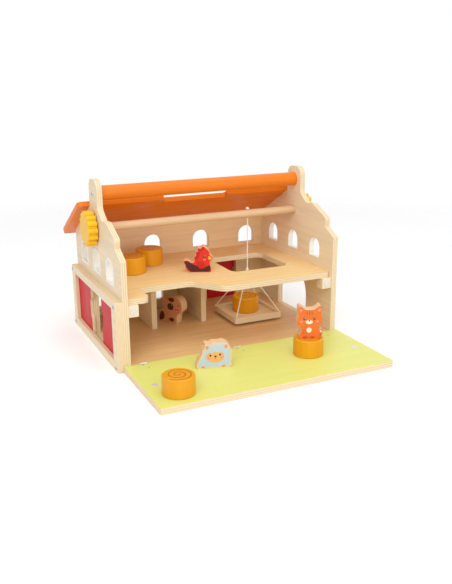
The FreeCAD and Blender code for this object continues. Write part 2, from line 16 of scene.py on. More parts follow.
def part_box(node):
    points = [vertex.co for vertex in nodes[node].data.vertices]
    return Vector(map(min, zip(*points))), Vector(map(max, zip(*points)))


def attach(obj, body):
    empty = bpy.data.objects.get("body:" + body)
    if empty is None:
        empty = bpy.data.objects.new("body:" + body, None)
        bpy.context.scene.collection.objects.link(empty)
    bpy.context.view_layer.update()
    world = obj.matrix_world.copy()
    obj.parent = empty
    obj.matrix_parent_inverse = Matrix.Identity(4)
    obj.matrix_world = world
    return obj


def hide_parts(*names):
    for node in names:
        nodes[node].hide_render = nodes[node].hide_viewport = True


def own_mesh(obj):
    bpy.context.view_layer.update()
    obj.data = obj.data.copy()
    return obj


MM = 0.001
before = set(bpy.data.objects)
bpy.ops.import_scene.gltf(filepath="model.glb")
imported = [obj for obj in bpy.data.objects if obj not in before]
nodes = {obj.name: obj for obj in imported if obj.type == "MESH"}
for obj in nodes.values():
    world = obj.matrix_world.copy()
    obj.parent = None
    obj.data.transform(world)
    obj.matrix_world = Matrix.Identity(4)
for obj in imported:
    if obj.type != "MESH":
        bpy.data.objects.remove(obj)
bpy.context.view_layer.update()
print("nodes on the frame:", len(nodes))

# %% [markdown]
# The camera comes first, because everything after it is judged through it. A camera is fixed by where
# it stands, where it looks and how long its lens is. The view is from the front left and a little
# above the roof, with a lens short enough to show the whole farm from every side.

# %% Camera
image_height = 584
camera_azimuth = 25.09
camera_elevation = 16.75
camera_roll = -0.41
camera_place = Vector((-407.4, -948.6, 367.8)) * MM
focal_pixels = 720.0
sensor_height = 24.0


def add_object(name, data):
    made = bpy.data.objects.new(name, data)
    bpy.context.collection.objects.link(made)
    return made


def add_camera():
    azimuth = math.radians(camera_azimuth)
    elevation = math.radians(camera_elevation)
    ahead = Vector((math.sin(azimuth), math.cos(azimuth), 0)) * math.cos(elevation)
    ahead.z = -math.sin(elevation)
    right = Vector((math.cos(azimuth), -math.sin(azimuth), 0))
    roll = Matrix.Rotation(-math.radians(camera_roll), 3, ahead)
    right = roll @ right
    up = right.cross(ahead)
    data = bpy.data.cameras.new("camera")
    data.sensor_fit = "VERTICAL"
    data.sensor_height = sensor_height
    data.lens = focal_pixels * sensor_height / image_height
    camera = add_object("camera", data)
    turn = Matrix((right, up, -ahead)).transposed()
    camera.matrix_world = Matrix.Translation(camera_place) @ turn.to_4x4()
    bpy.context.scene.camera = camera
    return camera


print("camera lens:", round(add_camera().data.lens, 1), "mm")

# %% [markdown]
# Finishes are built from small shader groups, so that grain is written once and used on every board.
# A group only hands out colours and heights. The shader itself stays in each material. A few helpers
# make the nodes: each input is either linked to another node or set to a plain value.

# %% Colours and shader helpers


def paint(red, green, blue):
    """A screen colour, 0 to 255, as the linear colour that a shader takes."""
    def linear(level):
        share = level / 255
        return share / 12.92 if share <= 0.04045 else ((share + 0.055) / 1.055) ** 2.4
    return (linear(red), linear(green), linear(blue), 1)


def shaded(colour, share):
    return (colour[0] * share, colour[1] * share, colour[2] * share, 1)


def new_group(name, kind, inputs, outputs):
    """A node group with its named inputs and outputs, and its two end nodes."""
    group = bpy.data.node_groups.new(name, kind)
    for label, socket in inputs:
        group.interface.new_socket(label, in_out="INPUT", socket_type=socket)
    for label, socket in outputs:
        group.interface.new_socket(label, in_out="OUTPUT", socket_type=socket)
    return group, group.nodes.new("NodeGroupInput"), group.nodes.new("NodeGroupOutput")


def feed(tree, socket, value):
    """Links another node's output to a socket, or sets the socket to a plain value."""
    if isinstance(value, bpy.types.NodeSocket):
        tree.links.new(value, socket)
    else:
        socket.default_value = value


def wired(tree, kind, **values):
    """A node with its inputs fed by name. An underscore stands for the space in a name."""
    node = tree.nodes.new(kind)
    for label, value in values.items():
        feed(tree, node.inputs[label.replace("_", " ")], value)
    return node


def worked_out(tree, kind, operation, values):
    node = tree.nodes.new(kind)
    node.operation = operation
    for socket, value in zip(node.inputs, values):
        feed(tree, socket, value)
    return node.outputs


def math_node(tree, operation, *values):
    return worked_out(tree, "ShaderNodeMath", operation, values)["Value"]


def vector_math(tree, operation, *values):
    return worked_out(tree, "ShaderNodeVectorMath", operation, values)


def remap(tree, value, low, high, to_low, to_high):
    return wired(tree, "ShaderNodeMapRange", Value=value, From_Min=low, From_Max=high, To_Min=to_low,
                 To_Max=to_high).outputs["Result"]


def mix_colour(tree, share, first, second):
    """A Mix node for colours, whose colour sockets are its inputs 6 and 7 and its output 2."""
    node = tree.nodes.new("ShaderNodeMix")
    node.data_type = "RGBA"
    for number, value in ((0, share), (6, first), (7, second)):
        feed(tree, node.inputs[number], value)
    return node.outputs[2]


def noise(tree, vector, scale, detail):
    return wired(tree, "ShaderNodeTexNoise", Vector=vector, Scale=scale, Detail=detail).outputs["Fac"]


print("half grey on screen, in linear light:", round(paint(128, 128, 128)[0], 3))

# %% [markdown]
# Birch has long soft streaks and fine pores. Both are noise stretched along the board: the streaks
# come from a wide noise, the pores from a narrow one. The same group colours paint on wood, where two
# close shades leave only a hint of the grain.

# %% Grain group
streak_scale = 1.0
streak_detail = 3.0
streak_share = 0.65
pore_scale = 6.0
pore_detail = 4.0
pore_share = 0.35
grain_low = 0.34
grain_high = 0.68


def make_grain_group():
    group, enter, leave = new_group(
        "wood_grain", "ShaderNodeTree",
        [("Vector", "NodeSocketVector"), ("Light", "NodeSocketColor"), ("Dark", "NodeSocketColor")],
        [("Color", "NodeSocketColor"), ("Height", "NodeSocketFloat")],
    )
    streaks = noise(group, enter.outputs["Vector"], streak_scale, streak_detail)
    pores = noise(group, enter.outputs["Vector"], pore_scale, pore_detail)
    both = math_node(group, "ADD", math_node(group, "MULTIPLY", streaks, streak_share),
                     math_node(group, "MULTIPLY", pores, pore_share))
    share = remap(group, both, grain_low, grain_high, 0.0, 1.0)
    colour = mix_colour(group, share, enter.outputs["Light"], enter.outputs["Dark"])
    feed(group, leave.inputs["Color"], colour)
    feed(group, leave.inputs["Height"], both)
    return group


grain_group = make_grain_group()
print("group:", grain_group.name)

# %% [markdown]
# A cut edge of plywood shows its veneers as stripes, light where the grain runs along the cut and dark
# where it ends in it. The stripes need only one number: how deep a point lies in the board. A second
# group tells edges from faces, by how far the surface turns away from the board's own direction.

# %% Plywood edge groups
veneers = 3
worn_share = 0.25
stripe_low = 0.5
stripe_high = 1.1
edge_facing = 0.55
face_facing = 0.85


def make_veneer_group():
    group, enter, leave = new_group(
        "ply_veneers", "ShaderNodeTree",
        [("Depth", "NodeSocketFloat"), ("Vector", "NodeSocketVector"), ("Light", "NodeSocketColor"),
         ("Dark", "NodeSocketColor")],
        [("Color", "NodeSocketColor")],
    )
    turns = math_node(group, "MULTIPLY", enter.outputs["Depth"], veneers * math.pi)
    stripes = math_node(group, "ABSOLUTE", math_node(group, "COSINE", turns))
    streaks = noise(group, enter.outputs["Vector"], streak_scale, streak_detail)
    worn = math_node(group, "MULTIPLY", streaks, worn_share)
    share = remap(group, math_node(group, "ADD", stripes, worn), stripe_low, stripe_high, 0.0, 1.0)
    colour = mix_colour(group, share, enter.outputs["Light"], enter.outputs["Dark"])
    feed(group, leave.inputs["Color"], colour)
    return group


def make_cut_mask_group():
    group, enter, leave = new_group(
        "cut_edge_mask", "ShaderNodeTree",
        [("Normal", "NodeSocketVector"), ("Axis", "NodeSocketVector")],
        [("Mask", "NodeSocketFloat")],
    )
    dot = vector_math(group, "DOT_PRODUCT", enter.outputs["Normal"], enter.outputs["Axis"])["Value"]
    facing = math_node(group, "ABSOLUTE", dot)
    feed(group, leave.inputs["Mask"], remap(group, facing, edge_facing, face_facing, 1.0, 0.0))
    return group


veneer_group = make_veneer_group()
cut_mask_group = make_cut_mask_group()
print("groups:", veneer_group.name, cut_mask_group.name)

# %% [markdown]
# With the groups at hand a finish is a short function. A board finish takes the direction of the
# board's thickness, the depth at which it starts and the direction of its grain. A painted or stained
# board keeps its bare edges, as a sawn and rolled toy does.

# %% Board, paint, metal and cotton finishes
X, Y, Z = range(3)
birch_light = paint(243, 217, 173)
birch_dark = paint(231, 197, 147)
bare_edges = (paint(238, 219, 186), paint(224, 195, 154))
grain_along = 9.0
grain_across = 170.0
specular = 0.35
coat_roughness = 0.25
bump_distance = 0.2 * MM
height_low = 0.3
height_high = 0.7
colour_coat = 0.05
colour_contrast = 0.86
speck_detail = 4.0
speck_low = 0.35
speck_high = 0.65
speck_spread = 0.08


def new_finish(name, coat):
    material = bpy.data.materials.new(name)
    material.use_nodes = True
    shader = material.node_tree.nodes["Principled BSDF"]
    shader.inputs["Specular IOR Level"].default_value = specular
    shader.inputs["Coat Weight"].default_value = coat
    shader.inputs["Coat Roughness"].default_value = coat_roughness
    return material, material.node_tree, shader


def place_group(tree, group, **values):
    node = tree.nodes.new("ShaderNodeGroup")
    node.node_tree = group
    for label, value in values.items():
        feed(tree, node.inputs[label], value)
    return node.outputs


def grain_place(tree, where, along):
    """A point's place on its object, drawn out along the grain."""
    scale = tuple(grain_along if axis == along else grain_across for axis in (X, Y, Z))
    return vector_math(tree, "MULTIPLY", where["Object"], scale)["Vector"]


def rough_and_bump(tree, shader, height, low, high, strength):
    rough = remap(tree, height, height_low, height_high, low, high)
    feed(tree, shader.inputs["Roughness"], rough)
    bump = wired(tree, "ShaderNodeBump", Strength=strength, Distance=bump_distance, Height=height)
    feed(tree, shader.inputs["Normal"], bump.outputs["Normal"])


def board_finish(name, axis, start, thick, along, colour=None, edges=bare_edges):
    material, tree, shader = new_finish(name, colour_coat if colour else 0.0)
    where = tree.nodes.new("ShaderNodeTexCoord").outputs
    place = grain_place(tree, where, along)
    light = colour or birch_light
    dark = shaded(colour, colour_contrast) if colour else birch_dark
    grain = place_group(tree, grain_group, Vector=place, Light=light, Dark=dark)
    along_axis = vector_math(tree, "DOT_PRODUCT", where["Object"], axis)["Value"]
    depth = remap(tree, along_axis, start, start + thick, 0.0, 1.0)
    layers = place_group(tree, veneer_group, Depth=depth, Vector=place, Light=edges[0], Dark=edges[1])
    mask = place_group(tree, cut_mask_group, Normal=where["Normal"], Axis=axis)
    whole = mix_colour(tree, mask["Mask"], grain["Color"], layers["Color"])
    feed(tree, shader.inputs["Base Color"], whole)
    rough_and_bump(tree, shader, grain["Height"], low=0.42, high=0.6, strength=0.18)
    return material


def paint_finish(name, colour, along=X, coat=0.0, contrast=0.88):
    material, tree, shader = new_finish(name, coat)
    place = grain_place(tree, tree.nodes.new("ShaderNodeTexCoord").outputs, along)
    grain = place_group(tree, grain_group, Vector=place, Light=colour, Dark=shaded(colour, contrast))
    feed(tree, shader.inputs["Base Color"], grain["Color"])
    rough_and_bump(tree, shader, grain["Height"], low=0.3, high=0.45, strength=0.1)
    return material


def fine_finish(name, colour, scale, roughness, metallic, contrast):
    """Metal or cotton: an even speckle instead of grain."""
    material, tree, shader = new_finish(name, 0.0)
    shader.inputs["Metallic"].default_value = metallic
    where = tree.nodes.new("ShaderNodeTexCoord").outputs
    speck = noise(tree, where["Object"], scale, speck_detail)
    share = remap(tree, speck, speck_low, speck_high, 0.0, 1.0)
    feed(tree, shader.inputs["Base Color"], mix_colour(tree, share, colour, shaded(colour, contrast)))
    rough_and_bump(tree, shader, speck, low=roughness - speck_spread, high=roughness + speck_spread,
                   strength=0.1)
    return material


print("birch in linear light:", [round(level, 3) for level in birch_light[:3]])

# %% [markdown]
# Now the boards are dressed. Each finish needs the thickness direction of its board, and the frame
# tells the rest: a node's box gives the depth at which the board starts and how thick it is. In the
# tables the first letter is the direction of the thickness and the second that of the grain. The edges
# of real boards are sanded, so a small bevel softens them and catches the light.

# %% Dress the boards
AXES = (Vector((1, 0, 0)), Vector((0, 1, 0)), Vector((0, 0, 1)))
red_paint = paint(212, 14, 26)
# Paler than the other birch boards: partly the boards' own tone, partly painted light on the gables'
# outer faces.
gable_tone_with_light = paint(246, 226, 192)
loft_tone = paint(244, 211, 148)
# Darker than the loft floor: partly the board's own tone, partly painted shade from the loft above it.
base_tone_with_shade = paint(231, 186, 130)
# Paler than the other birch boards: partly the wall's own tone, partly painted light on the back wall
# inside the open house.
wall_tone_with_light = paint(252, 224, 178)
weld_gap = 0.01 * MM
sharp_angle = math.radians(50)
bevel_steps = 2
board_bevel = 0.4 * MM
board_axes = {
    "left_gable": (X, Y), "right_gable": (X, Y), "back_wall": (Y, X), "loft_floor": (Z, X),
    "base_board": (Z, X), "stall_divider_left": (X, Y), "stall_divider_right": (X, Y),
    "front_wall": (Z, X), "side_door_channel": (X, Y), "side_door_frame": (X, Y),
    "back_door_channel": (Y, X), "back_door_frame": (Y, X), "tray_board": (Z, X), "tray_rim": (Z, X),
    "rear_side_door": (X, Z), "front_side_door": (X, Z), "back_door": (Y, Z),
}
board_colours = {
    "rear_side_door": red_paint, "front_side_door": red_paint, "back_door": red_paint,
    "left_gable": gable_tone_with_light, "right_gable": gable_tone_with_light, "side_door_channel": gable_tone_with_light,
    "side_door_frame": gable_tone_with_light, "loft_floor": loft_tone, "base_board": base_tone_with_shade,
    "back_wall": wall_tone_with_light, "back_door_channel": wall_tone_with_light, "back_door_frame": wall_tone_with_light,
}


def dress(node, material):
    materials = nodes[node].data.materials
    materials.clear()
    materials.append(material)


def ease_edges(node, width):
    weld = nodes[node].modifiers.new("weld", "WELD")
    weld.merge_threshold = weld_gap
    bevel = nodes[node].modifiers.new("sanded_edges", "BEVEL")
    bevel.limit_method = "ANGLE"
    bevel.angle_limit = sharp_angle
    bevel.width = width
    bevel.segments = bevel_steps


for node, (axis, along) in board_axes.items():
    low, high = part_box(node)
    thick = high[axis] - low[axis]
    colour = board_colours.get(node)
    dress(node, board_finish(node + "_finish", AXES[axis], low[axis], thick, along, colour))
    ease_edges(node, board_bevel)
print("boards dressed:", len(board_axes))

# %% [markdown]
# The rest of the frame takes paint, beech or metal. Orange covers the roof and the carrying rod all
# round, yellow the toothed knobs. The window outlines are white, the meadow a light green.

# %% Dress rods, paint and metal
roof_bevel = 1.2 * MM
block_bevel = 1.0 * MM
finishes = {
    "orange": paint_finish("orange_lacquer", paint(238, 124, 6)),
    "block": paint_finish("pale_block", paint(244, 226, 198), contrast=0.94),
    "beech": paint_finish("bare_beech", paint(224, 186, 144)),
    "yellow": paint_finish("yellow_paint", paint(250, 194, 24), coat=0.05, contrast=0.92),
    "white": paint_finish("white_paint", paint(246, 244, 238), coat=0.1, contrast=0.96),
    "green": paint_finish("meadow_green", paint(226, 226, 124), contrast=0.96),
    "bale": paint_finish("straw_paint", paint(234, 160, 8), along=Z, coat=0.05, contrast=0.9),
    "steel": fine_finish("plain_steel", paint(205, 206, 208), scale=900.0, roughness=0.32,
                         metallic=1.0, contrast=0.85),
    "magnet": fine_finish("pale_magnet", paint(226, 226, 224), scale=600.0, roughness=0.4,
                          metallic=0.4, contrast=0.92),
    "cotton": fine_finish("cotton_line", paint(250, 246, 236), scale=1500.0, roughness=0.9,
                          metallic=0.0, contrast=0.88),
}
plain_nodes = {
    "orange": ["roof_board", "carry_rod"],
    "block": ["magnet_block_left", "magnet_block_right"],
    "beech": ["winch_axle"],
    "yellow": ["left_knob", "right_knob"],
    "white": ["left_window_trims", "right_window_trims"],
    "green": ["meadow_sheet"],
    "bale": ["meadow_bale", "cat_bale", "loft_bale_left", "loft_bale_right", "tray_bale"],
    "steel": ["hinge_base_leaves", "hinge_wall_leaves", "hinge_pins"],
    "magnet": ["block_magnets", "keeper_discs"],
}
for finish, names in plain_nodes.items():
    for node in names:
        dress(node, finishes[finish])
ease_edges("roof_board", roof_bevel)
for node in plain_nodes["block"]:
    ease_edges(node, block_bevel)
print("other nodes dressed:", sum(len(names) for names in plain_nodes.values()))

# %% [markdown]
# Geometry Nodes suit what repeats. A tree is a small recipe with named inputs. It ends by turning its
# copies into real mesh and giving them a material. A recipe runs as a modifier on a mesh that holds
# its points, or on an empty one, and the result is kept as a plain mesh.

# %% Helpers for node trees


def new_recipe(name, *numbers):
    """A tree that takes a mesh, some named numbers and a material."""
    ends = [("Geometry", "NodeSocketGeometry")]
    inputs = [(label, "NodeSocketFloat") for label in numbers] + [("Material", "NodeSocketMaterial")]
    return new_group(name, "GeometryNodeTree", ends + inputs, ends)


def vector_of(tree, x=0.0, y=0.0, z=0.0):
    return wired(tree, "ShaderNodeCombineXYZ", X=x, Y=y, Z=z).outputs[0]


def joined(tree, parts):
    node = tree.nodes.new("GeometryNodeJoinGeometry")
    for part in parts:
        tree.links.new(part.outputs[0], node.inputs[0])
    return node.outputs[0]


def ended(tree, leave, geometry, material):
    realized = wired(tree, "GeometryNodeRealizeInstances", Geometry=geometry)
    painted = wired(tree, "GeometryNodeSetMaterial", Geometry=realized.outputs[0], Material=material)
    tree.links.new(painted.outputs[0], leave.inputs[0])


def cooked(name, mesh, tree, values):
    """Runs a recipe on a mesh and gives back a plain mesh object."""
    source = add_object(name + "_points", mesh)
    modifier = source.modifiers.new("recipe", "NODES")
    modifier.node_group = tree
    for item in tree.interface.items_tree:
        if item.in_out == "INPUT" and item.name in values:
            modifier[item.identifier] = values[item.name]
    graph = bpy.context.evaluated_depsgraph_get()
    result = bpy.data.meshes.new_from_object(source.evaluated_get(graph), depsgraph=graph)
    bpy.data.objects.remove(source)
    result.name = name
    return add_object(name, result)


def mesh_from(solid, name):
    """Turns an edited mesh into a plain one with its normals outward."""
    bmesh.ops.recalc_face_normals(solid, faces=solid.faces)
    mesh = bpy.data.meshes.new(name)
    solid.to_mesh(mesh)
    solid.free()
    return mesh


# %% [markdown]
# A screw head is two short cones, with a cross cut out of the top by a Boolean node. The points come
# from the frame: each screw is a separate island of its node, and its widest ring is the rim of its
# head. The head faces along the screw, from its middle towards that rim.

# %% Screw heads
head_sides = 32
shoulder_share = 0.86
crown_share = 0.5
slot_reach_share = 1.3
rim_band = 0.02 * MM


def islands(node):
    """Vertex places of each separate solid in a node."""
    solid = bmesh.new()
    solid.from_mesh(nodes[node].data)
    bmesh.ops.remove_doubles(solid, verts=solid.verts, dist=weld_gap)
    waiting = set(solid.verts)
    found = []
    while waiting:
        stack = [waiting.pop()]
        places = []
        while stack:
            vertex = stack.pop()
            places.append(tuple(vertex.co))
            for edge in vertex.link_edges:
                other = edge.other_vert(vertex)
                if other in waiting:
                    waiting.remove(other)
                    stack.append(other)
        found.append(np.array(places))
    solid.free()
    return found


def screw_seat(places):
    """Where the rim of a screw's head sits, and the direction in which the head faces."""
    middle = places.mean(axis=0)
    axis = np.linalg.svd(places - middle, full_matrices=False)[2][0]
    along = (places - middle) @ axis
    across = np.linalg.norm(places - middle - np.outer(along, axis), axis=1)
    if along[across.argmax()] < 0:
        axis = -axis
    rim = places[across > across.max() - rim_band].mean(axis=0)
    return Vector(rim), Vector(axis)


def head_points(name, seats):
    mesh = bpy.data.meshes.new(name)
    mesh.from_pydata([seat for seat, direction in seats], [], [])
    facing = mesh.attributes.new("facing", "FLOAT_VECTOR", "POINT")
    for item, (seat, direction) in zip(facing.data, seats):
        item.vector = direction
    return mesh


def make_head_recipe():
    tree, enter, leave = new_recipe("crossed_heads", "Radius", "Tall", "Slot")
    radius, tall, slot = (enter.outputs[label] for label in ("Radius", "Tall", "Slot"))
    shoulder = math_node(tree, "MULTIPLY", radius, shoulder_share)
    crown = math_node(tree, "MULTIPLY", radius, crown_share)
    reach = math_node(tree, "MULTIPLY", radius, slot_reach_share)
    half = math_node(tree, "MULTIPLY", tall, 0.5)
    base = wired(tree, "GeometryNodeMeshCone", Vertices=head_sides, Radius_Top=shoulder,
                 Radius_Bottom=radius, Depth=half)
    cap = wired(tree, "GeometryNodeMeshCone", Vertices=head_sides, Radius_Top=crown,
                Radius_Bottom=shoulder, Depth=half)
    lifted = wired(tree, "GeometryNodeTransform", Geometry=cap.outputs[0],
                   Translation=vector_of(tree, z=half))
    bars = []
    for wide, deep in ((reach, slot), (slot, reach)):
        bar = wired(tree, "GeometryNodeMeshCube", Size=vector_of(tree, wide, deep, half))
        bars.append(wired(tree, "GeometryNodeTransform", Geometry=bar.outputs[0],
                          Translation=vector_of(tree, z=tall)))
    cut = tree.nodes.new("GeometryNodeMeshBoolean")
    cut.operation = "DIFFERENCE"
    feed(tree, cut.inputs["Mesh 1"], joined(tree, (base, lifted)))
    feed(tree, cut.inputs["Mesh 2"], joined(tree, bars))
    facing = tree.nodes.new("GeometryNodeInputNamedAttribute")
    facing.data_type = "FLOAT_VECTOR"
    facing.inputs["Name"].default_value = "facing"
    turned = tree.nodes.new("FunctionNodeAlignRotationToVector")
    turned.axis = "Z"
    tree.links.new(facing.outputs["Attribute"], turned.inputs["Vector"])
    placed = wired(tree, "GeometryNodeInstanceOnPoints", Points=enter.outputs["Geometry"],
                   Instance=cut.outputs["Mesh"], Rotation=turned.outputs[0])
    ended(tree, leave, placed.outputs[0], enter.outputs["Material"])
    return tree


head_recipe = make_head_recipe()
screw_nodes = ["roof_screws", "rod_screws", "side_frame_screws", "back_frame_screws"]
seats = []
for node in screw_nodes:
    for places in islands(node):
        seats.append(screw_seat(places))
screw_sizes = {"Radius": 3.2 * MM, "Tall": 1.5 * MM, "Slot": 0.9 * MM, "Material": finishes["steel"]}
screw_heads = cooked("screw_heads", head_points("screw_seats", seats), head_recipe, screw_sizes)
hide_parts(*screw_nodes)
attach(screw_heads, "house")
print("screw heads:", len(seats))

# %% [markdown]
# The hinge nails on the meadow are the same recipe with smaller sizes. Their cross is so fine that it
# does not show, and they all face up.

# %% Hinge nails on the meadow
nail_sunk = 0.2 * MM
nail_seats = []
for places in islands("hinge_nails"):
    top = places.max(axis=0)
    middle = (places.max(axis=0) + places.min(axis=0)) / 2
    nail_seats.append((Vector((middle[0], middle[1], top[2] - nail_sunk)), AXES[Z]))
nail_sizes = {"Radius": 1.5 * MM, "Tall": 0.5 * MM, "Slot": 0.05 * MM, "Material": finishes["steel"]}
nail_heads = cooked("nail_heads", head_points("nail_seats", nail_seats), head_recipe, nail_sizes)
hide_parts("hinge_nails")
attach(nail_heads, "meadow_wall")
print("nail heads:", len(nail_seats))

# %% [markdown]
# The cut sides of the gable windows are painted white, like the bands around them. A thin band
# that follows the arch, as deep as the board, stands for that paint. Each band of trim on the frame
# tells where its window is.

# %% Window liners
trim_band = 3.5 * MM
liner_sunk = 0.1 * MM
liner_thick = 0.35 * MM
liner_inset = 0.15 * MM
arch_steps = 20


def arch_line(middle, sill, half, top):
    points = [(middle - half, sill), (middle + half, sill)]
    spring = top - half
    for step in range(arch_steps + 1):
        angle = math.pi * step / arch_steps
        points.append((middle + half * math.cos(angle), spring + half * math.sin(angle)))
    return points


def add_liner(mesh, low, high, near, far):
    """One liner in the window that the trim from low to high goes round, from x near to x far."""
    middle = (low[1] + high[1]) / 2
    half = (high[1] - low[1]) / 2 - trim_band
    sill = low[2] + trim_band
    top = high[2] - trim_band
    rings = []
    for grow in (liner_sunk, liner_sunk - liner_thick):
        line = arch_line(middle, sill - grow, half + grow, top + grow)
        for x in (near + liner_inset, far - liner_inset):
            rings.append([mesh.verts.new((x, y, z)) for y, z in line])
    for first, second in ((0, 1), (1, 3), (3, 2), (2, 0)):
        count = len(rings[first])
        for step in range(count):
            other = (step + 1) % count
            mesh.faces.new((rings[first][step], rings[first][other],
                            rings[second][other], rings[second][step]))


liners = bmesh.new()
for side in ("left", "right"):
    near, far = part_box(side + "_gable")
    for places in islands(side + "_window_trims"):
        add_liner(liners, places.min(axis=0), places.max(axis=0), near[0], far[0])
liner_mesh = mesh_from(liners, "window_liners")
liner_mesh.materials.append(finishes["white"])
window_liners = add_object("window_liners", liner_mesh)
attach(window_liners, "house")
print("liner faces:", len(liner_mesh.polygons))

# %% [markdown]
# The hoist line is twisted from three strands. A strand is a helix, which the Spiral node draws, with
# a round profile swept along it. Three copies, turned by a third each, make the line. The recipe
# draws it upright, and the finished mesh is then laid along its real run.

# %% Twisted line
strands = 3
line_radius = 0.8 * MM
lay_length = 5.0 * MM
helix_share = 0.5
strand_share = 0.54
strand_sides = 7
steps_a_turn = 14


def make_line_recipe():
    tree, enter, leave = new_recipe("twisted_line", "Length", "Radius", "Turns")
    helix = math_node(tree, "MULTIPLY", enter.outputs["Radius"], helix_share)
    strand = math_node(tree, "MULTIPLY", enter.outputs["Radius"], strand_share)
    spiral = wired(tree, "GeometryNodeCurveSpiral", Resolution=steps_a_turn,
                   Rotations=enter.outputs["Turns"], Start_Radius=helix, End_Radius=helix,
                   Height=enter.outputs["Length"])
    profile = wired(tree, "GeometryNodeCurvePrimitiveCircle", Resolution=strand_sides, Radius=strand)
    tube = wired(tree, "GeometryNodeCurveToMesh", Curve=spiral.outputs[0],
                 Profile_Curve=profile.outputs[0], Fill_Caps=True)
    turned = []
    for number in range(strands):
        angle = 2 * math.pi * number / strands
        turned.append(wired(tree, "GeometryNodeTransform", Geometry=tube.outputs[0],
                            Rotation=(0, 0, angle)))
    ended(tree, leave, joined(tree, turned), enter.outputs["Material"])
    return tree


line_recipe = make_line_recipe()


def line_between(name, start, end):
    """A twisted line from start to end, with its place in its mesh."""
    run = end - start
    values = {"Length": run.length, "Radius": line_radius, "Turns": run.length / lay_length,
              "Material": finishes["cotton"]}
    piece = cooked(name, bpy.data.meshes.new(name + "_seed"), line_recipe, values)
    turn = run.to_track_quat("Z", "Y").to_matrix().to_4x4()
    piece.data.transform(Matrix.Translation(start) @ turn)
    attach(piece, "tray")
    return piece


line_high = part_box("hoist_line")[1]
knot_low, knot_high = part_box("line_knot")
tray_x = (knot_low[0] + knot_high[0]) / 2
knot_middle = Vector((tray_x, 0, (knot_low[2] + knot_high[2]) / 2))
line_top = Vector((tray_x, 0, line_high[2]))
rim_low, rim_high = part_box("tray_rim")
print("line from knot to axle:", round((line_top - knot_middle).length, 4), "m")

# %% [markdown]
# The knot under the line is a small ball of cord wound on itself. A trefoil, the simplest knot there
# is, has a formula, so its path is a few sines and cosines and a round tube follows it. The same
# function makes the knot that keeps the line from slipping out of the axle.

# %% Knots
path_steps = 72
tube_sides = 8
knot_size = 2.0 * MM
knot_tall_share = 1.4
axle_knot_sunk = 1.8 * MM


def trefoil(middle, size):
    points = []
    for step in range(path_steps):
        angle = 2 * math.pi * step / path_steps
        points.append(middle + Vector((
            math.sin(angle) + 2 * math.sin(2 * angle),
            math.cos(angle) - 2 * math.cos(2 * angle),
            -math.sin(3 * angle) * knot_tall_share,
        )) * (size / 3))
    return points


def ring_tube(name, points, radius, material):
    """A closed tube along a closed path."""
    tube = bmesh.new()
    rings = []
    for step, point in enumerate(points):
        ahead = (points[(step + 1) % len(points)] - points[step - 1]).normalized()
        side = ahead.cross(AXES[Z]).normalized()
        up = side.cross(ahead)
        ring = []
        for turn in range(tube_sides):
            angle = 2 * math.pi * turn / tube_sides
            spoke = side * math.cos(angle) + up * math.sin(angle)
            ring.append(tube.verts.new(point + spoke * radius))
        rings.append(ring)
    for step, ring in enumerate(rings):
        following = rings[(step + 1) % len(rings)]
        for turn in range(tube_sides):
            other = (turn + 1) % tube_sides
            tube.faces.new((ring[turn], ring[other], following[other], following[turn]))
    mesh = mesh_from(tube, name)
    mesh.materials.append(material)
    mesh.shade_smooth()
    return add_object(name, mesh)


tray_knot = ring_tube("tray_knot", trefoil(knot_middle, knot_size), line_radius, finishes["cotton"])
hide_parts("line_knot")
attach(tray_knot, "tray")
axle_knot_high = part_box("axle_knot")[1]
axle_knot_middle = Vector((tray_x, 0, axle_knot_high[2] - axle_knot_sunk))
top_knot = ring_tube("top_knot", trefoil(axle_knot_middle, knot_size), line_radius, finishes["cotton"])
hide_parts("axle_knot")
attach(top_knot, "winch")
print("knots:", tray_knot.name, top_knot.name)

# %% [markdown]
# The hoist line is taut between the axle and the knot, and on the real toy it winds up as the tray
# rises.
# Here it is a mesh that rides with the tray and has a mesh of its own. Four more lines run from the
# knot to the corners of the tray's rim.

# %% Hoist line and bridle
rim_wide = 5.0 * MM
hoist = line_between("hoist_cord", knot_middle, line_top)
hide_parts("hoist_line")
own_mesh(hoist)
bridle = []
for side in (rim_low[0] + rim_wide / 2, rim_high[0] - rim_wide / 2):
    for end in (rim_low[1] + rim_wide / 2, rim_high[1] - rim_wide / 2):
        tie = Vector((side, end, rim_high[2]))
        string = line_between("bridle_cord_%d" % (len(bridle) + 1), tie, knot_middle)
        bridle.append(string)
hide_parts("bridle_strings")
print("bridle strings:", len(bridle))

# %% [markdown]
# Each straw bale is a drum with a spiral painted on its top. The Spiral node draws the line and a flat
# profile gives it a little height, so the mark is there from any side. One recipe serves five bales.

# %% Bale spirals
spiral_turns = 2.4
spiral_wide = 1.3 * MM
spiral_proud = 0.2 * MM
spiral_steps = 40
spiral_start = 1.2 * MM
spiral_margin = 2.6 * MM


def make_spiral_recipe():
    tree, enter, leave = new_recipe("straw_spiral", "Inner", "Outer", "Turns", "Wide", "Proud")
    spiral = wired(tree, "GeometryNodeCurveSpiral", Resolution=spiral_steps,
                   Rotations=enter.outputs["Turns"], Start_Radius=enter.outputs["Inner"],
                   End_Radius=enter.outputs["Outer"], Height=0.0)
    band = wired(tree, "GeometryNodeCurvePrimitiveQuadrilateral", Width=enter.outputs["Wide"],
                 Height=enter.outputs["Proud"])
    ribbon = wired(tree, "GeometryNodeCurveToMesh", Curve=spiral.outputs[0],
                   Profile_Curve=band.outputs[0], Fill_Caps=True)
    ended(tree, leave, ribbon.outputs[0], enter.outputs["Material"])
    return tree


